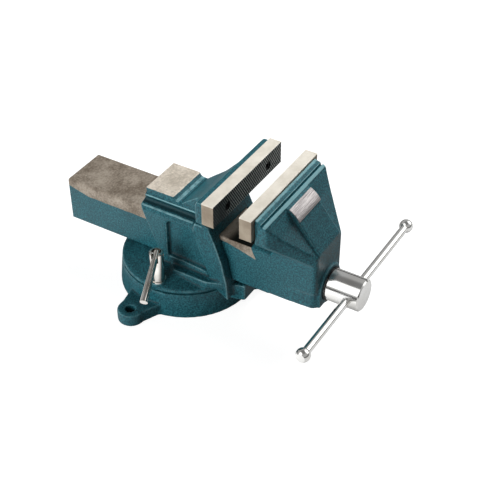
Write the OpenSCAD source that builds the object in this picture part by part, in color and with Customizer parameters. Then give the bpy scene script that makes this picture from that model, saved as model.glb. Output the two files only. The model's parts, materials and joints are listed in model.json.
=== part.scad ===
// Bench vise with a swivel base, a ram that slides through the body, and a T-handle spindle.
// Millimetres. The origin is on the swivel axis, on the bench plane. +Z is up, the handle is
// at -Y, the tail of the ram at +Y, and the jaws are wide along X.

/* [Jaws] */
// Width of the jaw plates
jaw_w = 125; // [115:1:135]
// Height of the jaw plates
plate_h = 24.1; // [20:0.1:26]
// Thickness of the jaw plates
plate_t = 13.1; // [10:0.1:14]
// Height of the plates' top edge above the bench
jaw_top = 154.5; // [150:0.5:160]
// Working face of the fixed plate, in front of the swivel axis
fixed_face = 73.4; // [70:0.1:76]
// Opening between the plates as the vise stands
opening = 26.6; // [5:0.1:30]

/* [Ram] */
// Width of the ram
ram_w = 52.8; // [50:0.2:56]
// Height of the ram's top above the bench
ram_top = 90.9; // [86:0.1:94]
// Height of the ram's underside above the bench
ram_low = 41.4; // [41.3:0.1:43]
// Tail end of the ram, behind the swivel axis
ram_tail = 127.8; // [110:0.1:135]
// Width of the channel inside the ram
channel_w = 30; // [28:0.5:31]
// Height of the channel's roof above the bench
channel_top = 76; // [75:0.5:80]

/* [Body] */
// Radius of the swivel disc
disc_r = 68; // [67:0.1:69]
// Height of the disc's top above the bench
disc_top = 41; // [39:0.1:41]
// Half width of the sleeve around the ram
sleeve_x = 36; // [35:0.5:38]
// Height of the anvil's face above the bench
anvil_top = 115.9; // [112:0.1:120]
// Half width of the anvil
anvil_x = 24.5; // [22:0.5:26]
// Rear edge of the anvil, behind the swivel axis
anvil_back = 29.5; // [26:0.5:32]

/* [Base] */
// Height of the base ring
base_h = 28; // [26:0.5:30]
// Radius of the base ring at the bench
base_r = 70.7; // [70:0.1:72]
// Distance of the bolt holes from the swivel axis
lug_pitch = 89.4; // [88:0.1:92]
// Radius of the rounded lug ends
lug_r = 14; // [12:0.5:15]
// Thickness of the lugs
lug_t = 14; // [10:0.5:15]
// Radius of the holes for the bench bolts
lug_hole_r = 5; // [4:0.5:6]
// Direction of the first lug, in degrees
lug_turn = 52.6; // [30:0.1:80]

/* [Spindle and handle] */
// Height of the spindle axis above the bench
axis_z = 59; // [58:0.5:60]
// Diameter of the screw and its journal
screw_d = 22; // [20:0.5:24]
// Rear end of the screw, behind the swivel axis
screw_end = 95; // [80:1:100]
// Diameter of the spindle head
head_d = 32.6; // [30:0.1:36]
// Front end of the spindle head, in front of the swivel axis
head_end = 200.7; // [196:0.1:206]
// Place of the handle along Y, in front of the swivel axis
handle_at = 189.1; // [186:0.1:191]
// Diameter of the handle bar
bar_d = 8.2; // [7:0.1:9]
// Distance between the centres of the handle's balls
handle_len = 220.7; // [180:0.1:240]
// Shift of the handle to the right as it hangs
handle_shift = 10.1; // [-40:0.1:40]
// Tilt of the handle, in degrees
handle_tilt = 0.9; // [-5:0.1:5]
// Radius of the handle's balls
ball_r = 7; // [6:0.1:8]

/* [Swivel clamps] */
// Distance of the clamp bolts from the swivel axis along X
clamp_x = 59.3; // [58:0.1:60]
// Place of the clamp bolts along Y
clamp_y = -3.7; // [-6:0.1:-3]
// Diameter of the clamp nuts
clamp_nut_d = 14.6; // [14:0.1:16]
// Height of the clamp nuts' tops above the bench
clamp_top = 72.5; // [70:0.5:80]
// Direction of the left clamp bar, in degrees
clamp_turn_left = 199.5; // [190:0.1:230]
// Direction of the right clamp bar, which is folded back along the body, in degrees
clamp_turn_right = 62; // [40:0.1:75]
// Length of a clamp bar from its pin
clamp_reach = 53.6; // [45:0.1:60]
// Droop of a clamp bar as it rests in the slot of its nut, in degrees
clamp_droop = 21.3; // [18:0.1:21.5]

/* [Hidden] */
$fn = 64;

run = 0.05;        // radial clearance of a turning shaft
slip = 0.3;        // clearance between faces that slide past each other

teal = "#2f6f7c";
bare = "#b9ab97";
bright = "#d9d9d6";
dark = "#4a4a48";

plate_low = jaw_top - plate_h;
seat_fixed = -fixed_face + plate_t;              // rear of the fixed plate
face_moving = -fixed_face - opening;             // working face of the moving plate
seat_moving = face_moving - plate_t;             // front of the moving plate
disc_low = base_h + slip;
passage_x = ram_w / 2 + slip;
passage_top = ram_top + slip;
nose_front = -161.8;                             // front plane of the nose
pad_front = -164.8;                              // seat of the thrust washer on its pad
pad_r = 21;                                      // half width of that pad
nose_wall = -112;                                // front end of the ram's channel
boss_r = 23.5;                                   // round top of the boss under the badge
boss_y = -118.7;
boss_z = 124.2;
screw_r = screw_d / 2;
spigot_r = 18;
clamp_pitch = norm([clamp_x, clamp_y]);
bolt_r = 4;                                      // clamp bolts
slot_half = bolt_r + 0.4;                        // T-groove in the base
channel_half = 6.8;
channel_low = 12;
channel_high = 21;
seat_z = disc_top - 4;                           // spot faces under the clamp washers
seat_r = clamp_nut_d / 2 + 1.1;
washer_t = 1.6;
pivot_z = clamp_top - 3;                         // height of the pins of the clamp bars
pivot_r = 1.25;
bore_r = 4.9;                                    // hollow top of the clamp nuts
bore_z = 62;
slot_z = 63;                                     // floor of the slot for the bar
slot_w = 7;
screw_x = 37;                                    // plate screws
screw_z = jaw_top - 14;
screw_hole_r = 3;
screw_head_r = 5;
nut_bolt_y = -40;

// ---- helpers ----
// Extrudes an outline of [y, z] points along X.
module along_x(points, x0, x1)
    translate([x0, 0, 0]) rotate([90, 0, 90]) linear_extrude(x1 - x0) polygon(points);

// Extrudes an outline of [x, z] points along Y.
module along_y(points, y0, y1)
    translate([0, y1, 0]) rotate([90, 0, 0]) linear_extrude(y1 - y0) polygon(points);

// Extrudes an outline of [x, y] points along Z.
module along_z(points, z0, z1)
    translate([0, 0, z0]) linear_extrude(z1 - z0) polygon(points);

// Closes the outline of a right-hand half by its mirror image in the first coordinate.
function both(half) = concat(half, [for (i = [len(half) - 1:-1:0]) [-half[i][0], half[i][1]]]);

// Cylinder along Y between two places.
module rod_y(r, y0, y1, x = 0, z = axis_z)
    translate([x, y1, z]) rotate([90, 0, 0]) cylinder(r = r, h = y1 - y0);

module rod_z(r, z0, z1, x = 0, y = 0) translate([x, y, z0]) cylinder(r = r, h = z1 - z0);

module mirrored() {
    children();
    mirror([1, 0, 0]) children();
}

// ---- base ----
module base_lug(turn) rotate(turn) {
    rod_z(lug_r, 0, lug_t, x = lug_pitch - 1.4);
    along_z([[50, -20], [66, -20], [lug_pitch - 4, -lug_r], [lug_pitch - 4, lug_r],
             [66, 20], [50, 20]], 0, lug_t);
}

// T-groove that holds the heads of the clamp bolts.
module clamp_groove() rotate_extrude($fn = 128) {
    translate([clamp_pitch - slot_half, channel_low]) square([2 * slot_half, base_h]);
    translate([clamp_pitch - channel_half, channel_low])
        square([2 * channel_half, channel_high - channel_low]);
}

module base() color(teal) difference() {
    union() {
        cylinder(r1 = base_r, r2 = disc_r, h = base_h, $fn = 128);
        for (i = [0:2]) base_lug(lug_turn + 120 * i);
    }
    clamp_groove();
    // entry for the bolt heads, and the socket for the body's spigot
    rod_z(channel_half, channel_low, base_h + 1, y = clamp_pitch);
    rod_z(spigot_r + run, channel_low, base_h + 1);
    for (i = [0:2]) rotate(lug_turn + 120 * i)
        rod_z(lug_hole_r, -1, lug_t + 1, x = lug_pitch);
}

// ---- fixed body ----
// Disc with a thin rim and a shallow cone, a raised seat for each clamp and the spigot below.
module swivel_disc() {
    rotate_extrude($fn = 128) polygon([[0, disc_low], [disc_r - 1.2, disc_low], [disc_r, 31.5],
        [disc_r - 0.4, 33], [disc_r - 1.8, 34], [44, disc_top], [0, disc_top]]);
    rod_z(spigot_r, channel_low + slip, disc_low + 1);
    mirrored() rod_z(seat_r, disc_low + 1, seat_z, x = clamp_x, y = clamp_y);
}

// Sleeve around the ram, with its ledges, up to the anvil.
module sleeve() intersection() {
    along_y(both([[sleeve_x, disc_top - 5], [sleeve_x, 98], [33.5, 101.5], [27, 103],
                  [25.6, 105], [27.4, 108.6], [anvil_x, 110.5]]), -72, 40);
    along_x([[-70.5, disc_low + 1], [8, disc_low + 1], [10, 50], [31, 102], [anvil_back, 110.6],
             [-50, 110.6], [-49.8, 104.5], [-70.5, 30]], -60, 60);
}

// Front band of the sleeve, which leans forward to the foot.
module front_band() along_x([[-71, 22], [-71.8, 22], [-70, 42], [-65, 66], [-57.4, 88],
    [-50, 104.5], [-34, 104.5], [-32, 95], [-40, 70], [-52, 41], [-60, disc_low + 1]], -38, 38);

// Lower step between the sleeve and the disc.
module plinth() mirrored()
    along_z([[30, -66], [39.5, -66], [45.5, -50], [45.5, -13], [36, -4], [30, -4]],
            disc_top - 6, disc_top + 2);

// Jaw that carries the fixed plate, with a neck back to the anvil.
module fixed_jaw() intersection() {
    along_x([[seat_fixed, jaw_top - 1.5], [-54, jaw_top - 1.5], [-52.5, 150], [-44, 139],
             [-32, 127.5], [-20, 118.5], [-12.5, 112.5], [-11, 110.2], [2, 110.2], [2, 100],
             [-50, 100], [-52, 106], [seat_fixed, plate_low]], -jaw_w / 2, jaw_w / 2);
    along_y(both([[38, 99], [38, 104], [jaw_w / 2 - 1, plate_low - 1],
                  [jaw_w / 2 - 1, jaw_top]]), -62, 5);
    along_z(both([[62.5, -62], [62.5, -52.5], [43, -51], [34, -43], [27.5, -34], [25.5, -20],
                  [25.5, 5]]), 90, 160);
}

// Ground block with a steep front bevel that ends in a small lip.
module anvil() along_x([[-9.8, 109], [-9.4, 111.2], [-6.9, 111.9], [-2.1, anvil_top],
                        [anvil_back, anvil_top], [anvil_back + 0.5, 109]], -anvil_x, anvil_x);

// Tongue of the foot under the ram.
module foot_tongue() along_z(both([[27, -64], [27, -70], [23.5, -83]]), 16, 35);

// Deep panel in each side of the sleeve.
module side_recess() mirrored()
    along_x([[-46.5, 47], [-38, 48.5], [-17, 50], [-0.5, 50], [-0.5, 90.5], [-3.5, 93.5],
             [-25, 93.5], [-30, 91.5], [-33, 88], [-36, 80], [-41, 65]], 31, 60);

module fixed_body() color(teal) difference() {
    union() {
        swivel_disc();
        sleeve();
        front_band();
        plinth();
        fixed_jaw();
        anvil();
        foot_tongue();
    }
    side_recess();
    // passage of the ram
    translate([-passage_x, -100, disc_top])
        cube([2 * passage_x, 200, passage_top - disc_top]);
    // room for the base ring inside the foot
    difference() {
        rod_z(base_r + 0.8, 0, disc_low, $fn = 128);
        rod_z(spigot_r, 0, disc_low + 1);
    }
    // spot faces and holes of the clamp bolts
    mirrored() {
        rod_z(seat_r + 0.3, seat_z, 60, x = clamp_x, y = clamp_y);
        rod_z(bolt_r, 0, disc_top, x = clamp_x, y = clamp_y);
    }
    // hole and counterbore of the nut's bolt
    rod_z(8.5, disc_low - 1, 36, y = nut_bolt_y);
    rod_z(5, disc_low, disc_top + 1, y = nut_bolt_y);
    mirrored() rod_y(screw_hole_r, seat_fixed - 1, seat_fixed + 9, x = screw_x, z = screw_z);
}

// ---- moving body ----
module ram() difference() {
    translate([-ram_w / 2, -128, ram_low]) cube([ram_w, ram_tail + 128, ram_top - ram_low]);
    translate([-channel_w / 2, nose_wall, ram_low - 1])
        cube([channel_w, 300, channel_top - ram_low + 1]);
    mirrored() translate([ram_w / 2, 0, ram_top]) rotate([0, 45, 0])
        cube([2, 600, 2], center = true);
}

// Wings behind the moving plate: a strip along the top, a groove, a thin rib and a long slope.
module wings() intersection() {
    along_x([[seat_moving, 60], [seat_moving, 152.1], [-119.9, 149.8], [-120.1, 146.6],
             [-121.8, 146.6], [-122, 149], [-124.8, 147.2], [-125.2, 146.1], [-135, 133],
             [nose_front, 103.5], [nose_front, 60]], -jaw_w / 2, jaw_w / 2);
    along_y(both([[ram_w / 2, 60], [ram_w / 2, 95], [jaw_w / 2 - 5, plate_low - 5],
                  [jaw_w / 2 - 5, jaw_top - 8], [jaw_w / 2 - 6, jaw_top]]), -170, -100);
    along_z(both([[57.5, -100], [57.5, -125.5], [24, nose_front]]), 50, 160);
}

// Raised middle with a round top, that runs from the badge down to the nose.
module boss() intersection() {
    union() {
        along_x([[-125, 120], [-139.4, 135.2], [nose_front, 106], [nose_front, 90], [-125, 90]],
                -jaw_w / 2, jaw_w / 2);
        boss_round(boss_r, 30);
    }
    along_z(both([[20.8, -125], [20.8, -140], [21.2, nose_front]]), 80, 160);
}

// Cylinder along X that the boss's top follows.
module boss_round(r, half) translate([-half, boss_y, boss_z]) rotate([0, 90, 0])
    cylinder(r = r, h = 2 * half);

module nose() intersection() {
    along_x([[-120, ram_low], [-120, 117], [-148, 117], [nose_front, 103], [nose_front, ram_low]],
            -30, 30);
    along_z(both([[ram_w / 2, -100], [ram_w / 2, -128], [25, -157], [23.4, -160.2],
                  [21.6, -161.4], [19.5, nose_front]]), 40, 130);
}

// Flat pad on the nose around the spindle, with a round top.
module pad() {
    rod_y(pad_r, pad_front, nose_front + 5);
    translate([-pad_r, pad_front, ram_low])
        cube([2 * pad_r, nose_front + 5 - pad_front, axis_z - ram_low]);
}

module moving_body() color(teal) difference() {
    union() {
        ram();
        wings();
        boss();
        nose();
        pad();
    }
    rod_y(screw_r + run, pad_front - 1, nose_wall + 5);
    mirrored() rod_y(screw_hole_r, seat_moving - 9, seat_moving + 1, x = screw_x, z = screw_z);
}

// Blank sheet wrapped over the boss's round top.
module blank_badge() color(bright) intersection() {
    difference() {
        boss_round(boss_r + 0.8, 20.4);
        boss_round(boss_r, 30);
    }
    translate([0, boss_y, boss_z])
        along_x([[0, 0], [-40 * sin(24), 40 * cos(24)], [-40 * sin(60), 40 * cos(60)]], -30, 30);
}

// ---- jaw plates ----
module fixed_jaw_plate() color(bare) difference() {
    translate([-jaw_w / 2, -fixed_face, plate_low]) cube([jaw_w, plate_t, plate_h]);
    mirrored() {
        rod_y(screw_hole_r, -fixed_face - 1, seat_fixed + 1, x = screw_x, z = screw_z);
        rod_y(screw_head_r, -fixed_face - 1, -fixed_face + 7, x = screw_x, z = screw_z);
    }
}

module moving_jaw_plate() color(bare) difference() {
    translate([-jaw_w / 2, seat_moving, plate_low]) cube([jaw_w, plate_t, plate_h]);
    mirrored() {
        rod_y(screw_hole_r, seat_moving - 1, face_moving + 1, x = screw_x, z = screw_z);
        rod_y(screw_head_r, face_moving - 7, face_moving + 1, x = screw_x, z = screw_z);
    }
}

// Socket-head screw from a plate's working face into the casting. dir is the way it points.
module plate_screw(x, face, dir) color(dark) translate([x, face, screw_z])
    rotate([-90 * dir, 0, 0]) difference() {
        union() {
            translate([0, 0, 1.6]) cylinder(r = screw_head_r, h = 5.4);
            translate([0, 0, 2]) cylinder(r = screw_hole_r, h = plate_t + 7);
        }
        translate([0, 0, 1]) cylinder(r = 2.9, h = 3.6, $fn = 6);
    }

module fixed_plate_screw_left() plate_screw(-screw_x, -fixed_face, 1);
module fixed_plate_screw_right() plate_screw(screw_x, -fixed_face, 1);
module moving_plate_screw_left() plate_screw(-screw_x, face_moving, -1);
module moving_plate_screw_right() plate_screw(screw_x, face_moving, -1);

// ---- spindle ----
washer_y = pad_front - slip - 1.4;               // front face of the thrust washer
head_rear = washer_y - 0.5;
collar_y = nose_wall + slip + 2.5;               // front face of the retaining collar
pin_y = collar_y + 5;
pin_r = 2.5;

module handle_frame() translate([0, -handle_at, axis_z]) rotate([0, handle_tilt, 0]) children();

module spindle() color(bright) difference() {
    union() {
        rod_y(screw_r, head_rear - 1, screw_end - 2);
        translate([0, screw_end, axis_z]) rotate([90, 0, 0])
            cylinder(r1 = screw_r - 2, r2 = screw_r, h = 2);
        rod_y(14, head_rear - 1, washer_y);
        rod_y(head_d / 2, -head_end + 1.2, head_rear);
        translate([0, -head_end + 1.2, axis_z]) rotate([90, 0, 0])
            cylinder(r1 = head_d / 2, r2 = head_d / 2 - 1.2, h = 1.2);
    }
    handle_frame() rotate([0, 90, 0]) cylinder(r = bar_d / 2 + run, h = 60, center = true);
    rod_z(pin_r, axis_z - 30, axis_z + 30, y = pin_y);
}

module thrust_washer() color(dark) difference() {
    rod_y(17.4, washer_y, pad_front - slip);
    rod_y(screw_r, washer_y - 1, pad_front + 1);
}

module spring_washer() color(dark) difference() {
    rod_y(14, nose_wall + slip, collar_y);
    rod_y(screw_r, nose_wall - 1, collar_y + 1);
}

module retaining_collar() color(dark) difference() {
    rod_y(14, collar_y, collar_y + 10);
    rod_y(screw_r, collar_y - 1, collar_y + 11);
    rod_z(pin_r, axis_z - 30, axis_z + 30, y = pin_y);
}

module collar_pin() color(bright) rod_z(pin_r, axis_z - 13, axis_z + 13, y = pin_y);

// ---- spindle nut ----
module spindle_nut() color("#8f7a4a") difference() {
    translate([-12.9, -60, disc_top]) cube([25.8, 40, 33]);
    rod_y(screw_r + run, -70, -10);
    rod_z(5, disc_top - 1, disc_top + 6, y = nut_bolt_y);
}

module nut_bolt() color(dark) difference() {
    union() {
        rod_z(8, 29.5, 36, y = nut_bolt_y);
        rod_z(5, 35, disc_top + 6, y = nut_bolt_y);
    }
    rod_z(4, 29, 33, y = nut_bolt_y, $fn = 6);
}

// ---- handle ----
ball_x = handle_len / 2;

module handle_along() handle_frame() translate([handle_shift, 0, 0]) rotate([0, 90, 0])
    children();

module handle_bar() color(bright) handle_along()
    cylinder(r = bar_d / 2, h = 2 * ball_x + 6, center = true);

// Ball with a flat outer end, bored for the bar. side is -1 for the left ball.
module handle_ball(side) color(bright) handle_along()
    rotate([side < 0 ? 180 : 0, 0, 0]) translate([0, 0, ball_x]) difference() {
        sphere(r = ball_r);
        translate([0, 0, -ball_r - 1]) cylinder(r = bar_d / 2, h = ball_r + 4);
        translate([0, 0, ball_r - 1.7]) cylinder(r = ball_r, h = 3);
    }

module handle_ball_left() handle_ball(-1);
module handle_ball_right() handle_ball(1);

// ---- swivel clamps ----
module clamp_bolt(side) color(dark) {
    rod_z(channel_half - 0.5, channel_low + 1.2, channel_high - slip,
          x = side * clamp_x, y = clamp_y);
    rod_z(bolt_r, channel_high - 1, bore_z - 1, x = side * clamp_x, y = clamp_y);
}

module clamp_washer(side) color(bright) difference() {
    rod_z(seat_r - 0.3, seat_z, seat_z + washer_t, x = side * clamp_x, y = clamp_y);
    rod_z(bolt_r, seat_z - 1, seat_z + washer_t + 1, x = side * clamp_x, y = clamp_y);
}

// Frame on a clamp's axis at the bar's pin, turned so that +X runs out along the bar.
module clamp_frame(side) translate([side * clamp_x, clamp_y, pivot_z])
    rotate(side < 0 ? clamp_turn_left : clamp_turn_right) children();

// Nut with a hollow top, slotted on one side for the bar.
module clamp_nut(side) color(bright) difference() {
    union() {
        rod_z(clamp_nut_d / 2, seat_z + washer_t + slip, clamp_top - 1,
              x = side * clamp_x, y = clamp_y);
        translate([side * clamp_x, clamp_y, clamp_top - 1])
            cylinder(r1 = clamp_nut_d / 2, r2 = clamp_nut_d / 2 - 1, h = 1);
    }
    rod_z(bolt_r + run, 0, bore_z + 1, x = side * clamp_x, y = clamp_y);
    rod_z(bore_r, bore_z, clamp_top + 1, x = side * clamp_x, y = clamp_y);
    clamp_frame(side) {
        translate([0, -slot_w / 2, slot_z - pivot_z]) cube([20, slot_w, 20]);
        rotate([90, 0, 0]) cylinder(r = pivot_r, h = 30, center = true);
    }
}

module clamp_bar(side) color(bright) clamp_frame(side) rotate([0, 90 + clamp_droop, 0])
    difference() {
        translate([0, 0, -3]) cylinder(r1 = 2.9, r2 = 3.9, h = clamp_reach + 3);
        rotate([90, 0, 0]) cylinder(r = pivot_r + run, h = 30, center = true);
    }

// Cross pin that a bar folds up on.
module clamp_pin(side) color(dark) clamp_frame(side) rotate([90, 0, 0])
    cylinder(r = pivot_r, h = clamp_nut_d - 0.8, center = true);

module clamp_bolt_left() clamp_bolt(-1);
module clamp_bolt_right() clamp_bolt(1);
module clamp_washer_left() clamp_washer(-1);
module clamp_washer_right() clamp_washer(1);
module clamp_nut_left() clamp_nut(-1);
module clamp_nut_right() clamp_nut(1);
module clamp_bar_left() clamp_bar(-1);
module clamp_bar_right() clamp_bar(1);
module clamp_pin_left() clamp_pin(-1);
module clamp_pin_right() clamp_pin(1);

base();
fixed_body();
moving_body();
fixed_jaw_plate();
moving_jaw_plate();
fixed_plate_screw_left();
fixed_plate_screw_right();
moving_plate_screw_left();
moving_plate_screw_right();
blank_badge();
spindle();
thrust_washer();
spring_washer();
retaining_collar();
collar_pin();
spindle_nut();
nut_bolt();
handle_bar();
handle_ball_left();
handle_ball_right();
clamp_bolt_left();
clamp_bolt_right();
clamp_washer_left();
clamp_washer_right();
clamp_nut_left();
clamp_nut_right();
clamp_bar_left();
clamp_bar_right();
clamp_pin_left();
clamp_pin_right();
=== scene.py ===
"""Looks of the bench vise: cast and painted bodies, ground plates with serrated faces, a threaded
spindle and bright steel parts, on a pale floor in soft studio light."""
import json
import math

import bmesh
import bpy
import numpy as np
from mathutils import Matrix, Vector


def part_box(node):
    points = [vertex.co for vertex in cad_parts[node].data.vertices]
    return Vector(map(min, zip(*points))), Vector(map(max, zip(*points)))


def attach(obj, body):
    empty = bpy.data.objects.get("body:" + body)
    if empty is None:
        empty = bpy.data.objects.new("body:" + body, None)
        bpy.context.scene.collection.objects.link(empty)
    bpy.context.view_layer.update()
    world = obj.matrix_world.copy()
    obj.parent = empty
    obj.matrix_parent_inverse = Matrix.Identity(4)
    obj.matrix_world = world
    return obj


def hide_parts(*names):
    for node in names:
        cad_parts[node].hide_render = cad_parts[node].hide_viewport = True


MM = 0.001
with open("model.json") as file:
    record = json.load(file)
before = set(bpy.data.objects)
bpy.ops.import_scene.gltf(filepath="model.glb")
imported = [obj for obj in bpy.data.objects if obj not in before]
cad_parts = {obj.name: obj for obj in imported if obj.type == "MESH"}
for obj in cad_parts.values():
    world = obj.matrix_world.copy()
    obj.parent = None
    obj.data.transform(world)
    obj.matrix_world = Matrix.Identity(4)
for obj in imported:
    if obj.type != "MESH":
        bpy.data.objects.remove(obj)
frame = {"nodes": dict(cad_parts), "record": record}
nodes = frame["nodes"]
scene = bpy.context.scene
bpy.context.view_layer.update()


def corners(node):
    """Lowest and highest corner of a CAD node, in millimetres."""
    low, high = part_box(node)
    return [value / MM for value in low], [value / MM for value in high]


def mount_height(name):
    """Height of one of the record's mounts, in millimetres."""
    for mount in frame["record"]["mounts"]:
        if mount["name"] == name:
            return mount["pos_m"][2] / MM


# Places read from the frame, in millimetres.
FIXED_PLATE_LOW, _ = corners("fixed_jaw_plate")
MOVING_PLATE_LOW, MOVING_PLATE_HIGH = corners("moving_jaw_plate")
SPINDLE_LOW, SPINDLE_HIGH = corners("spindle")
_, COLLAR_HIGH = corners("retaining_collar")
AXIS_Z = (SPINDLE_LOW[2] + SPINDLE_HIGH[2]) / 2
THREAD_START = COLLAR_HIGH[1] + 3
ANVIL_TOP = mount_height("anvil_face")

# Height of the ram's top and half of its width, in millimetres: places on the moving body that
# its corners don't give.
RAM_TOP = 90.9
RAM_HALF = 26.4

# Where the camera stands: degrees round and above the vise, metres from the point it aims at.
CAMERA_AZIMUTH = -59.25
CAMERA_ELEVATION = 39.43
CAMERA_DISTANCE = 1.0706
CAMERA_AIM = (0, -0.07474, 0.0623)
LENS_MM = 77.9
SENSOR_MM = 36

# Colours of the finishes.
TEAL_DEEP = (0.0030, 0.040, 0.054)
TEAL_LIGHT = (0.0300, 0.163, 0.198)
# The next colour lightens the outer edges of the paint: partly paint wear, partly painted
# highlight.
TEAL_WORN_AND_HIGHLIGHT = (0.24, 0.46, 0.50)
# The next colour is painted shade for the paint in corners and hollows.
TEAL_CORNER_SHADE = (0.002, 0.022, 0.028)
IRON_STAINED_DARK = (0.16, 0.127, 0.094)
IRON_STAINED_LIGHT = (0.41, 0.355, 0.29)
IRON_CLEAN_DARK = (0.50, 0.44, 0.36)
IRON_CLEAN_LIGHT = (0.84, 0.76, 0.65)
PLATE_SIDE_DARK = (0.245, 0.195, 0.142)
PLATE_SIDE_LIGHT = (0.37, 0.31, 0.235)
# The next two colours make the plates' tops lighter than their sides: a painted highlight, a lit
# copy of the same ground iron.
PLATE_LIT_TOP_DARK = (0.76, 0.71, 0.61)
PLATE_LIT_TOP_LIGHT = (0.92, 0.87, 0.77)
PLATE_TEETH = (0.74, 0.78, 0.73)
# The next colour is painted shade, darkening the ram's top between the jaws.
SHADE_BLACK = (0.003, 0.004, 0.003)
# The next colour darkens the plates' working faces: painted shade in the serrations and screw
# holes, and a darker left part.
FACE_DARK = (0.008, 0.014, 0.013)


# ---- camera ----
def make_camera():
    azimuth, elevation = math.radians(CAMERA_AZIMUTH), math.radians(CAMERA_ELEVATION)
    back = Vector((math.sin(azimuth) * math.cos(elevation),
                   -math.cos(azimuth) * math.cos(elevation),
                   math.sin(elevation)))
    camera = bpy.data.objects.new("camera", bpy.data.cameras.new("camera"))
    scene.collection.objects.link(camera)
    camera.location = Vector(CAMERA_AIM) + back * CAMERA_DISTANCE
    camera.rotation_euler = back.to_track_quat("Z", "Y").to_euler()
    camera.data.sensor_width = SENSOR_MM
    camera.data.lens = LENS_MM
    scene.camera = camera


# ---- material nodes ----
class Shader:
    """A principled material and short calls for the nodes that feed it."""

    def __init__(self, name):
        self.material = bpy.data.materials.new(name)
        self.material.use_nodes = True
        self.tree = self.material.node_tree
        self.surface = self.tree.nodes["Principled BSDF"]
        self.place = self.new("ShaderNodeTexCoord").outputs["Object"]

    def new(self, kind, **settings):
        node = self.tree.nodes.new(kind)
        for key, value in settings.items():
            setattr(node, key, value)
        return node

    def put(self, value, socket):
        if isinstance(value, bpy.types.NodeSocket):
            self.tree.links.new(value, socket)
        elif isinstance(value, tuple) and len(value) == 3 and socket.type == "RGBA":
            socket.default_value = (*value, 1)
        else:
            socket.default_value = value

    def set(self, socket, value):
        self.put(value, self.surface.inputs[socket])

    def math(self, operation, a, b=0.0, c=0.0, clamp=False):
        node = self.new("ShaderNodeMath", operation=operation, use_clamp=clamp)
        for value, socket in zip((a, b, c), node.inputs):
            self.put(value, socket)
        return node.outputs[0]

    def axis(self, name):
        node = self.new("ShaderNodeSeparateXYZ")
        self.put(self.place, node.inputs[0])
        return node.outputs[name]

    def stretched(self, scale):
        node = self.new("ShaderNodeMapping")
        self.put(self.place, node.inputs["Vector"])
        node.inputs["Scale"].default_value = scale
        return node.outputs[0]

    def noise(self, scale, detail=2.0, roughness=0.5, at=None):
        node = self.new("ShaderNodeTexNoise")
        self.put(at if at is not None else self.place, node.inputs["Vector"])
        node.inputs["Scale"].default_value = scale
        node.inputs["Detail"].default_value = detail
        node.inputs["Roughness"].default_value = roughness
        return node.outputs["Fac"]

    def ramp(self, value, low, high, to_low=0.0, to_high=1.0, smooth=True):
        node = self.new("ShaderNodeMapRange")
        if smooth:
            node.interpolation_type = "SMOOTHSTEP"
        for item, socket in zip((value, low, high, to_low, to_high), node.inputs):
            self.put(item, socket)
        return node.outputs[0]

    def mix(self, factor, a, b):
        node = self.new("ShaderNodeMix", data_type="RGBA")
        self.put(factor, node.inputs["Factor"])
        self.put(a, node.inputs["A"])
        self.put(b, node.inputs["B"])
        return node.outputs["Result"]

    def blend(self, factor, a, b):
        """A number that is a where the factor is 0 and b where it is 1."""
        return self.math("ADD", a, self.math("MULTIPLY", factor, self.math("SUBTRACT", b, a)))

    def bump(self, height, distance, strength=1.0, normal=None):
        node = self.new("ShaderNodeBump")
        self.put(height, node.inputs["Height"])
        node.inputs["Distance"].default_value = distance
        self.put(strength, node.inputs["Strength"])
        if normal is not None:
            self.put(normal, node.inputs["Normal"])
        return node.outputs[0]

    def attribute(self, name):
        return self.new("ShaderNodeAttribute", attribute_name=name).outputs["Fac"]


def machined(shader):
    """Colour, roughness and milling marks of bare ground iron. The faces that stand higher are
    cleaner, and the ram's top between the jaws is darkened as painted shade."""
    height = shader.axis("Z")
    stains = shader.noise(45, 5, 0.65)
    grain = shader.noise(420, 4, 0.7)
    marks = shader.noise(1, 3, 0.6, shader.stretched((2600, 90, 2600)))
    clean = shader.ramp(height, 0.095, 0.110)
    dark = shader.mix(clean, IRON_STAINED_DARK, IRON_CLEAN_DARK)
    light = shader.mix(clean, IRON_STAINED_LIGHT, IRON_CLEAN_LIGHT)
    speckle = shader.math("ADD", shader.math("MULTIPLY", stains, 0.55),
                          shader.math("MULTIPLY", grain, 0.45))
    colour = shader.mix(shader.ramp(speckle, 0.36, 0.64), dark, light)
    colour = shader.mix(shader.ramp(marks, 0.55, 0.8, 0, 0.3), colour, dark)
    # Painted shade: the ram's top between the jaws goes nearly black.
    between_jaws_shade = shader.math("MULTIPLY", shader.ramp(shader.axis("Y"), -0.056, -0.072),
                      shader.ramp(height, 0.0900, 0.0906))
    colour = shader.mix(between_jaws_shade, colour, SHADE_BLACK)
    return colour, shader.ramp(stains, 0.3, 0.7, 0.52, 0.40), marks


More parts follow.
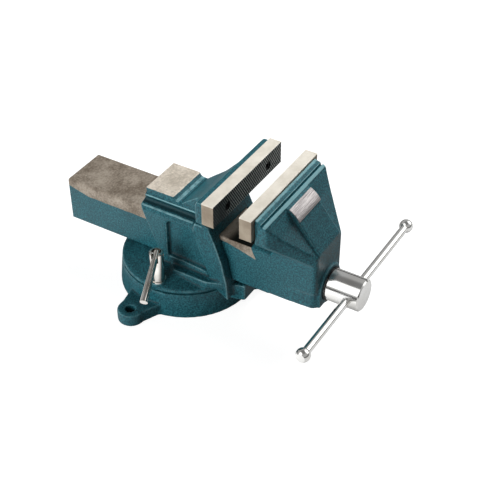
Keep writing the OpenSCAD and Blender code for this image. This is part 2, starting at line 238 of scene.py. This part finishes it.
def painted(shader, bare=None, wear=0.8):
    """Hammered teal paint, lighter along outer edges, partly as paint wear and partly as painted
    highlight, and darker in the corners as painted shade, with bare machined iron where the mask
    says."""
    edge = shader.attribute("edge")
    mottle = shader.noise(640, 2, 0.6)
    cloud = shader.noise(26, 4, 0.6)
    chips = shader.noise(150, 4, 0.7)
    colour = shader.mix(shader.ramp(mottle, 0.30, 0.73), TEAL_DEEP, TEAL_LIGHT)
    colour = shader.mix(shader.ramp(cloud, 0.35, 0.75, 0, 0.35), colour, TEAL_DEEP)
    # Painted shade: corners and hollows, where the edge attribute is below 0, are darkened.
    colour = shader.mix(shader.ramp(edge, -0.10, -0.45, 0, 0.8), colour, TEAL_CORNER_SHADE)
    # Outer edges are lightened, partly as paint wear and partly as painted highlight; the wear
    # argument scales both.
    worn_and_highlight = shader.ramp(shader.math("MULTIPLY", edge, chips), 0.08, 0.42, 0, wear)
    colour = shader.mix(worn_and_highlight, colour, TEAL_WORN_AND_HIGHLIGHT)
    roughness = shader.ramp(mottle, 0.3, 0.7, 0.34, 0.46)
    metallic = 0.0
    hammer = shader.bump(mottle, 0.0004, 0.5)
    if bare is not None:
        iron, iron_rough, marks = machined(shader)
        colour = shader.mix(bare, colour, iron)
        roughness = shader.blend(bare, roughness, iron_rough)
        metallic = shader.math("MULTIPLY", bare, 0.3)
        hammer = shader.bump(mottle, 0.0004, shader.math("MULTIPLY_ADD", bare, -0.45, 0.5))
        hammer = shader.bump(marks, 0.00006, shader.math("MULTIPLY", bare, 0.5), hammer)
    shader.set("Base Color", colour)
    shader.set("Roughness", roughness)
    shader.set("Metallic", metallic)
    shader.set("Normal", hammer)
    shader.set("Specular IOR Level", 0.32)
    return shader.material


def base_paint():
    return painted(Shader("teal_paint_base"), wear=0.35)


def body_paint():
    """Teal paint, with the anvil's face ground bare."""
    anvil_front = -8
    shader = Shader("teal_paint_body")
    wander = shader.math("MULTIPLY", shader.noise(300, 3, 0.6), 0.7 * MM)
    height = shader.math("ADD", shader.axis("Z"), wander)
    top = shader.ramp(height, (ANVIL_TOP - 0.35) * MM, (ANVIL_TOP + 0.05) * MM)
    behind = shader.math("GREATER_THAN", shader.axis("Y"), anvil_front * MM)
    return painted(shader, shader.math("MULTIPLY", top, behind))


def slide_paint():
    """Teal paint, with the ram's top and the upper part of its sides ground bare. The line
    between them rises at both ends of the ram, and the bare part ends in a slope at the head."""
    shader = Shader("teal_paint_slide")
    y = shader.axis("Y")
    z = shader.axis("Z")
    wander = shader.math("MULTIPLY_ADD", shader.noise(120, 4, 0.65), 0.0016, -0.0008)
    tail_rise = shader.ramp(y, 0.098, 0.132, 0.0772, 0.0835)
    front_rise = shader.ramp(y, -0.098, -0.066, 0.0778, 0.0860, smooth=False)
    line = shader.blend(shader.math("GREATER_THAN", y, -0.03), front_rise, tail_rise)
    high = shader.math("GREATER_THAN", shader.math("ADD", z, wander), line)
    slope = shader.math("MULTIPLY_ADD", z, 0.46, -0.1329)
    behind = shader.math("GREATER_THAN", shader.math("ADD", y, wander), slope)
    return painted(shader, shader.math("MULTIPLY", high, behind))


def ground_iron():
    """Ground faces of the jaw plates, lighter on top as a painted highlight, with painted shade in
    the serrations and the screw holes, and darker over the left part of the working face."""
    shader = Shader("ground_iron")
    stains = shader.noise(60, 5, 0.6)
    marks = shader.noise(1, 3, 0.6, shader.stretched((60, 2400, 2400)))
    ground = shader.ramp(shader.axis("Z"), 0.1530, 0.1540)
    # Painted highlight: the plates' top faces take lighter colours than their sides.
    dark = shader.mix(ground, PLATE_SIDE_DARK, PLATE_LIT_TOP_DARK)
    light = shader.mix(ground, PLATE_SIDE_LIGHT, PLATE_LIT_TOP_LIGHT)
    colour = shader.mix(shader.ramp(stains, 0.3, 0.7), dark, light)
    colour = shader.mix(shader.ramp(marks, 0.5, 0.8, 0, 0.4), colour, light)
    groove = shader.attribute("groove")
    face = shader.ramp(groove, 0.02, 0.10)
    colour = shader.mix(face, colour, PLATE_TEETH)
    # The left part of the working face is darker.
    darker_left = shader.math("MULTIPLY", face, shader.ramp(shader.axis("X"), -0.015, -0.050, 0.1, 0.95))
    # Painted shade in the bottoms of the serrations and in the screw holes, merged with the darker
    # left part.
    dark_face = shader.math("MAXIMUM", shader.ramp(groove, 0.18, 0.55), darker_left)
    colour = shader.mix(dark_face, colour, FACE_DARK)
    shader.set("Base Color", colour)
    shader.set("Metallic", 0.25)
    shader.set("Roughness", shader.ramp(stains, 0.3, 0.7, 0.50, 0.42))
    shader.set("Normal", shader.bump(marks, 0.00005, 0.4))
    return shader.material


def bright_steel():
    """Polished, plated steel with faint drawing marks and fingerprints."""
    shader = Shader("bright_steel")
    smears = shader.noise(55, 4, 0.6)
    pits = shader.noise(900, 2, 0.5)
    colour = shader.mix(shader.ramp(smears, 0.3, 0.75), (0.80, 0.79, 0.76), (0.90, 0.90, 0.89))
    colour = shader.mix(shader.ramp(pits, 0.68, 0.78, 0, 0.35), colour, (0.35, 0.33, 0.30))
    shader.set("Base Color", colour)
    shader.set("Metallic", 1.0)
    shader.set("Roughness", shader.ramp(smears, 0.3, 0.7, 0.10, 0.20))
    shader.set("Normal", shader.bump(smears, 0.0003, 0.08))
    return shader.material


def dull_steel():
    """Zinc-plated steel of the swivel clamps, warmer and duller than the spindle."""
    shader = Shader("dull_steel")
    smears = shader.noise(70, 2, 0.5)
    colour = shader.mix(shader.ramp(smears, 0.3, 0.7), (0.56, 0.53, 0.48), (0.86, 0.84, 0.80))
    shader.set("Base Color", colour)
    shader.set("Metallic", 1.0)
    shader.set("Roughness", shader.ramp(smears, 0.3, 0.7, 0.16, 0.09))
    shader.set("Normal", shader.bump(smears, 0.0002, 0.03))
    return shader.material


def dark_steel():
    """Oiled black steel of the screws and inner parts."""
    shader = Shader("dark_steel")
    wear = shader.noise(260, 4, 0.6)
    colour = shader.mix(shader.ramp(wear, 0.35, 0.7), (0.012, 0.012, 0.012), (0.07, 0.068, 0.064))
    shader.set("Base Color", colour)
    shader.set("Metallic", 0.6)
    shader.set("Roughness", shader.ramp(wear, 0.3, 0.7, 0.50, 0.32))
    shader.set("Normal", shader.bump(wear, 0.0002, 0.2))
    return shader.material


def bronze():
    """Machined bronze of the spindle nut."""
    shader = Shader("bronze")
    stains = shader.noise(90, 4, 0.6)
    marks = shader.noise(1, 2, 0.5, shader.stretched((2200, 120, 2200)))
    colour = shader.mix(shader.ramp(stains, 0.3, 0.7), (0.30, 0.19, 0.07), (0.50, 0.34, 0.14))
    shader.set("Base Color", colour)
    shader.set("Metallic", 0.9)
    shader.set("Roughness", shader.ramp(stains, 0.3, 0.7, 0.45, 0.3))
    shader.set("Normal", shader.bump(marks, 0.00006, 0.5))
    return shader.material


def badge_aluminium():
    """Satin aluminium with a brushed grain along the badge."""
    shader = Shader("badge_aluminium")
    grain = shader.noise(1, 3, 0.6, shader.stretched((60, 3000, 3000)))
    colour = shader.mix(shader.ramp(grain, 0.3, 0.7), (0.17, 0.155, 0.155), (0.60, 0.565, 0.555))
    shader.set("Base Color", colour)
    shader.set("Metallic", 0.75)
    shader.set("Roughness", shader.ramp(grain, 0.3, 0.7, 0.42, 0.3))
    shader.set("Normal", shader.bump(grain, 0.00006, 0.5))
    return shader.material


# ---- mesh work ----
def read_points(mesh):
    points = np.empty(len(mesh.vertices) * 3)
    mesh.vertices.foreach_get("co", points)
    return points.reshape(-1, 3)


def write_points(mesh, points):
    mesh.vertices.foreach_set("co", points.ravel())
    mesh.update()


def smoothed(mesh, points, weight, passes):
    """Moves each point towards the middle of its neighbours, as far as its weight lets it."""
    edges = np.empty(len(mesh.edges) * 2, dtype=np.int64)
    mesh.edges.foreach_get("vertices", edges)
    a, b = edges.reshape(-1, 2).T
    count = np.bincount(np.concatenate((a, b)), minlength=len(points))[:, None]
    for _ in range(passes):
        total = np.zeros_like(points)
        for axis in range(3):
            total[:, axis] = (np.bincount(a, points[b, axis], len(points))
                              + np.bincount(b, points[a, axis], len(points)))
        points = points + weight[:, None] * 0.6 * (total / count - points)
    return points


def remeshed(node, name, voxel):
    """A copy of a CAD node's shape in even quads of one size, in millimetres."""
    copy = bpy.data.objects.new(name + "_source", nodes[node].data.copy())
    scene.collection.objects.link(copy)
    remesh = copy.modifiers.new("remesh", "REMESH")
    remesh.mode = "VOXEL"
    remesh.voxel_size = voxel * MM
    evaluated = copy.evaluated_get(bpy.context.evaluated_depsgraph_get())
    mesh = bpy.data.meshes.new_from_object(evaluated)
    bpy.data.objects.remove(copy)
    mesh.name = name
    piece = bpy.data.objects.new(name, mesh)
    scene.collection.objects.link(piece)
    mesh.shade_smooth()
    return piece


def add_attribute(mesh, name, values):
    layer = mesh.attributes.new(name, "FLOAT", "POINT")
    layer.data.foreach_set("value", values.astype(np.float32))


def applied(piece, kind, **settings):
    """Adds a modifier to a piece and replaces its mesh by the result."""
    modifier = piece.modifiers.new(kind.lower(), kind)
    for key, value in settings.items():
        setattr(modifier, key, value)
    evaluated = piece.evaluated_get(bpy.context.evaluated_depsgraph_get())
    mesh = bpy.data.meshes.new_from_object(evaluated)
    piece.modifiers.clear()
    piece.data = mesh
    return mesh


def casting(node, name, machined_area, edge_light_and_shade=None, voxel=0.75, passes=16, ratio=0.45):
    """A casting whose edges are rounded, except where machined_area is near 1. Its edge
    attribute is above 0 on outer edges, for paint wear with painted highlights, and below 0 in
    corners, for painted shade, and the fourth argument sets it in chosen places as painted
    highlights and shade. voxel is in millimetres, and ratio is the share of the faces that is
    kept."""
    piece = remeshed(node, name, voxel)
    mesh = piece.data
    start = read_points(mesh)
    keep = machined_area(start / MM)
    even = smoothed(mesh, start, 1 - 0.6 * keep, 3)
    rounded = smoothed(mesh, even, 1 - 0.93 * keep, passes)
    normals = np.empty(len(rounded) * 3)
    mesh.vertices.foreach_get("normal", normals)
    edge = ((even - rounded) * normals.reshape(-1, 3)).sum(axis=1) / MM
    if edge_light_and_shade:
        chosen = edge_light_and_shade(start / MM)
        edge = np.where(chosen == 0, edge, chosen)
    write_points(mesh, rounded)
    add_attribute(mesh, "edge", np.clip(edge, -1, 1))
    mesh = applied(piece, "DECIMATE", ratio=ratio)
    mesh.materials.clear()
    return piece


# In the functions below, p holds points in millimetres, one per row. The machined ones say from
# 0 to 1 how crisp the shape stays, and the others give the edge attribute: painted highlights
# above 0, painted shade below.
def between(values, low, high):
    return (values > low) & (values < high)


def base_machined(p):
    return np.zeros(len(p))


def body_machined(p):
    """The anvil, the passage of the ram and, almost as crisp, the shoulder beside the anvil."""
    x, y, z = abs(p[:, 0]), p[:, 1], p[:, 2]
    anvil = (z > ANVIL_TOP - 3.5) & (y > -3)
    passage = (x < RAM_HALF + 1) & between(z, 40, RAM_TOP + 1)
    shoulder = (x > 24) & between(z, 100, 111) & (y > -31)
    return np.maximum(anvil | passage, 0.85 * shoulder)


def body_edge_light_and_shade(p):
    """Painted highlights on the edges of the shoulder and of the rim below it, painted shade in
    the hollow between them, and a painted highlight on the lip in front of the anvil's face."""
    x, y, z = abs(p[:, 0]), p[:, 1], p[:, 2]
    rear = between(y, -31, 30)
    shoulder = rear & (x > 26.4) & between(z, 107.9, 109.3)
    rim = rear & (x > 32.4) & between(z, 100.4, 101.8)
    hollow = rear & (x > 24.8) & between(z, 102.2, 107.4)
    lip = between(y, -8.2, -5.6) & (z > 111.0) & (x < 24.6)
    return 0.75 * shoulder + 0.6 * rim - 0.9 * hollow + 0.6 * lip


def slide_machined(p):
    """The ram, and the strip and rib along the top of the jaw."""
    y, z = p[:, 1] - MOVING_PLATE_LOW[1], p[:, 2]
    ram = (y > 2) & (z < RAM_TOP + 1)
    ridges = (y > -13.5) & (z > MOVING_PLATE_HIGH[2] - 10)
    return np.maximum(ram, ridges)


def slide_edge_highlights(p):
    """Painted highlights on the thin rib, the strip behind the moving plate and its two edges."""
    y, z = p[:, 1] - MOVING_PLATE_LOW[1], p[:, 2] - MOVING_PLATE_HIGH[2]
    rib = between(y, -12.0, -8.6) & (z > -7.6)
    front = between(y, -7.3, -6.3) & (z > -5.2)
    back = between(y, -0.9, 0.1) & (z > -3.4) & (abs(p[:, 0]) < 57)
    strip = between(y, -6.3, -0.9) & (z > -3.4)
    return 1.0 * rib + 0.95 * front + 0.95 * back + 0.72 * strip


def serrated_plate(node, name, face, inward, screws):
    """A jaw plate with slanting serrations cut into its working face, at the place face along Y.
    inward is the way the cut goes along Y. Its groove attribute marks the face, the bottoms of
    the serrations and the screw holes."""
    piece = remeshed(node, name, 0.45)
    mesh = piece.data
    p = read_points(mesh) / MM
    p = smoothed(mesh, p, np.ones(len(p)), 1)
    pitch, lean, depth, margin, hole_radius = 2.4, math.radians(32), 0.7, 1.6, 7
    on_face = np.clip(1 - abs(p[:, 1] - face) / 0.35, 0, 1)
    across = p[:, 0] * math.cos(lean) + p[:, 2] * math.sin(lean)
    wave = abs((across / pitch) % 1 - 0.5) * 2
    low, high = p.min(axis=0), p.max(axis=0)
    inside = np.ones(len(p))
    for axis in (2, 0):
        inside = (inside * np.clip((p[:, axis] - low[axis]) / margin, 0, 1)
                  * np.clip((high[axis] - p[:, axis]) / margin, 0, 1))
    cut = on_face * np.minimum(inside * 4, 1) * (1 - wave)
    p[:, 1] += inward * depth * cut
    groove = 0.15 * on_face + 0.85 * cut
    for screw in screws:
        low, high = corners(screw)
        from_screw = np.hypot(p[:, 0] - (low[0] + high[0]) / 2, p[:, 2] - (low[2] + high[2]) / 2)
        groove[(from_screw < hole_radius) & (abs(p[:, 1] - face) > 0.4)] = 1
    write_points(mesh, p * MM)
    add_attribute(mesh, "groove", np.clip(groove, 0, 1))
    mesh.materials.clear()
    return piece


def spindle_head():
    """The front of the spindle, cut from the CAD shape ahead of the thread. The normals that
    came with the whole shape no longer fit it, so they go."""
    mesh = nodes["spindle"].data.copy()
    shape = bmesh.new()
    shape.from_mesh(mesh)
    bmesh.ops.remove_doubles(shape, verts=shape.verts, dist=1e-6)
    bmesh.ops.bisect_plane(shape, geom=shape.verts[:] + shape.edges[:] + shape.faces[:],
                           plane_co=(0, THREAD_START * MM, 0), plane_no=(0, 1, 0),
                           clear_outer=True)
    open_edges = [edge for edge in shape.edges if edge.is_boundary]
    bmesh.ops.contextual_create(shape, geom=open_edges)
    shape.to_mesh(mesh)
    shape.free()
    if "custom_normal" in mesh.attributes:
        mesh.attributes.remove(mesh.attributes["custom_normal"])
    mesh.shade_smooth()
    mesh.set_sharp_from_angle(angle=math.radians(35))
    mesh.materials.clear()
    piece = bpy.data.objects.new("spindle_head", mesh)
    scene.collection.objects.link(piece)
    return piece


def spindle_thread(pitch=5.0, radius=11.0, depth=2.2, steps=14, around=40):
    """The threaded part of the spindle: one trapezoidal start, right-handed, that fades in and
    out and ends in a chamfer."""
    start, end = THREAD_START, SPINDLE_HIGH[1]
    rows = int((end - start) / pitch * steps)
    shape = bmesh.new()
    rings = []
    for row in range(rows + 1):
        y = start + (end - start) * row / rows
        fade = min(1, (y - start) / 6, (end - y) / 3)
        ring = []
        for i in range(around):
            angle = 2 * math.pi * i / around
            phase = ((y - start) / pitch + i / around) % 1
            tooth = min(1, max(0, abs(phase - 0.5) * 4.6 - 0.62))
            chamfer = 1.2 * max(0, 1 - (end - y) / 2)
            r = radius - depth * fade * (1 - tooth) - chamfer
            ring.append(shape.verts.new((r * math.cos(angle) * MM, y * MM,
                                         (AXIS_Z + r * math.sin(angle)) * MM)))
        rings.append(ring)
    for a, b in zip(rings, rings[1:]):
        for i in range(around):
            j = (i + 1) % around
            shape.faces.new((a[i], a[j], b[j], b[i]))
    shape.faces.new(rings[0])
    shape.faces.new(rings[-1][::-1])
    bmesh.ops.recalc_face_normals(shape, faces=shape.faces)
    mesh = bpy.data.meshes.new("spindle_thread")
    shape.to_mesh(mesh)
    shape.free()
    mesh.shade_smooth()
    mesh.set_sharp_from_angle(angle=math.radians(50))
    piece = bpy.data.objects.new("spindle_thread", mesh)
    scene.collection.objects.link(piece)
    return piece


def dress(piece, material, body, node):
    """Gives a new piece its material and its body, and hides the CAD node that it stands for."""
    piece.data.materials.append(material)
    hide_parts(node)
    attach(piece, body)


def repaint(node, material):
    """Gives a CAD node another material on all its faces."""
    for slot in nodes[node].material_slots:
        slot.material = material


# ---- stage ----
# Brightness of the floor and the backdrop as the camera sees them, and the light of the dim room.
BACKDROP = 0.90
ROOM_LIGHT = 0.07
LIGHT_AIM = (0, -0.03, 0.08)

# The bright walls of the room that mirrors show: the way towards each, the cosines of the angles
# from it at which the wall fades out and is full, and how bright it is.
BRIGHT_WALLS = (((-0.64, 0.36, 0.68), 0.87, 0.97, 1.6),
                ((0.70, -0.42, 0.58), 0.84, 0.95, 1.5))


def make_floor():
    """A pale floor. To glossy rays it is dark near the vise and on its right, and bright in
    front of it and on its left, so that the low faces of the paint and steel mirror that."""
    shape = bmesh.new()
    bmesh.ops.create_grid(shape, x_segments=8, y_segments=8, size=3)
    mesh = bpy.data.meshes.new("floor")
    shape.to_mesh(mesh)
    shape.free()
    floor = bpy.data.objects.new("floor", mesh)
    scene.collection.objects.link(floor)
    shader = Shader("floor")
    shader.set("Base Color", (0.30, 0.30, 0.30))
    shader.set("Roughness", 0.9)
    shader.set("Specular IOR Level", 0.0)
    shader.set("Emission Color", (1.0, 1.0, 1.0))
    path = shader.new("ShaderNodeLightPath").outputs
    length = shader.new("ShaderNodeVectorMath", operation="LENGTH")
    shader.put(shader.place, length.inputs[0])
    away = length.outputs["Value"]
    left = shader.math("MULTIPLY", shader.ramp(shader.axis("X"), 0.02, -0.06, 0.06, 1.1),
                       shader.ramp(shader.axis("Y"), -0.20, -0.13, 0.4, 1))
    front = shader.ramp(shader.axis("Y"), -0.19, -0.24, 0, 0.45)
    mirrored = shader.math("MAXIMUM", left, front)
    mirrored = shader.math("MULTIPLY", mirrored, shader.ramp(away, 0.085, 0.13))
    mirrored = shader.math("MULTIPLY", mirrored, shader.ramp(away, 0.9, 1.7, 1, 0.1))
    shown = shader.math("MULTIPLY", path["Is Camera Ray"], BACKDROP)
    shader.set("Emission Strength",
               shader.math("MULTIPLY_ADD", path["Is Glossy Ray"], mirrored, shown))
    mesh.materials.append(shader.material)


def area_light(name, place, power, size):
    """A soft box aimed at the vise. Mirrors don't show it."""
    light = bpy.data.lights.new(name, "AREA")
    light.energy = power
    light.shape = "RECTANGLE"
    light.size, light.size_y = size
    lamp = bpy.data.objects.new(name, light)
    scene.collection.objects.link(lamp)
    lamp.location = place
    lamp.visible_glossy = False
    back = Vector(place) - Vector(LIGHT_AIM)
    lamp.rotation_euler = back.to_track_quat("Z", "Y").to_euler()


def make_lights():
    """Two soft boxes in a dim room with a pale backdrop. Mirror images show the room instead:
    dark at the horizon, grey above it and darker overhead, with one soft bright wall at the left
    and one at the right."""
    world = bpy.data.worlds.new("studio")
    scene.world = world
    world.use_nodes = True
    tree = world.node_tree
    background = tree.nodes["Background"]
    background.inputs["Color"].default_value = (1, 1, 1, 1)
    toward = tree.nodes.new("ShaderNodeTexCoord").outputs["Generated"]

    def softly(value, low, high, to_low, to_high):
        node = tree.nodes.new("ShaderNodeMapRange")
        node.interpolation_type = "SMOOTHSTEP"
        for item, socket in zip((low, high, to_low, to_high), list(node.inputs)[1:5]):
            socket.default_value = item
        tree.links.new(value, node.inputs[0])
        return node.outputs[0]

    def plus(a, b):
        node = tree.nodes.new("ShaderNodeMath")
        tree.links.new(a, node.inputs[0])
        tree.links.new(b, node.inputs[1])
        return node.outputs[0]

    parts = tree.nodes.new("ShaderNodeSeparateXYZ")
    tree.links.new(toward, parts.inputs[0])
    room = plus(softly(parts.outputs["Z"], 0.04, 0.30, 0.02, 0.42),
                softly(parts.outputs["Z"], 0.72, 0.93, 0, -0.22))
    for direction, edge, middle, power in BRIGHT_WALLS:
        near = tree.nodes.new("ShaderNodeVectorMath")
        near.operation = "DOT_PRODUCT"
        tree.links.new(toward, near.inputs[0])
        near.inputs[1].default_value = Vector(direction).normalized()
        room = plus(room, softly(near.outputs["Value"], edge, middle, 0, power))
    path = tree.nodes.new("ShaderNodeLightPath").outputs
    backdrop = softly(path["Is Camera Ray"], 0, 1, ROOM_LIGHT, BACKDROP)
    strength = tree.nodes.new("ShaderNodeMix")
    tree.links.new(path["Is Glossy Ray"], strength.inputs["Factor"])
    tree.links.new(backdrop, strength.inputs["A"])
    tree.links.new(room, strength.inputs["B"])
    tree.links.new(strength.outputs["Result"], background.inputs["Strength"])
    area_light("left_box", (-1.25, 0.35, 0.34), 17, (0.9, 0.7))
    area_light("right_box", (1.02, -0.06, 1.15), 29, (0.95, 1.15))


# ---- build ----
make_camera()

teal, iron, bright, zinc = base_paint(), ground_iron(), bright_steel(), dull_steel()
finishes = {"teal_paint": teal, "ground_iron": iron, "bright_steel": bright,
            "dark_steel": dark_steel(), "bronze": bronze(), "badge_aluminium": badge_aluminium()}

dress(casting("moving_body", "slide_casting", slide_machined, slide_edge_highlights, voxel=0.62, ratio=0.3),
      slide_paint(), "slide", "moving_body")
dress(casting("fixed_body", "body_casting", body_machined, body_edge_light_and_shade),
      body_paint(), "body", "fixed_body")
dress(casting("base", "base_casting", base_machined), teal, "base", "base")
dress(serrated_plate("fixed_jaw_plate", "fixed_plate_serrated", FIXED_PLATE_LOW[1], 1,
                     ("fixed_plate_screw_left", "fixed_plate_screw_right")),
      iron, "body", "fixed_jaw_plate")
dress(serrated_plate("moving_jaw_plate", "moving_plate_serrated", MOVING_PLATE_HIGH[1], -1,
                     ("moving_plate_screw_left", "moving_plate_screw_right")),
      iron, "slide", "moving_jaw_plate")
for piece in (spindle_head(), spindle_thread()):
    dress(piece, bright, "screw", "spindle")

for part in frame["record"]["subparts"]:
    node = part["node"]
    is_clamp_metal = node.startswith("clamp_") and "bolt" not in node
    repaint(node, zinc if is_clamp_metal else finishes[part["material_slot"]])

make_floor()
make_lights()
scene.view_settings.view_transform = "Standard"
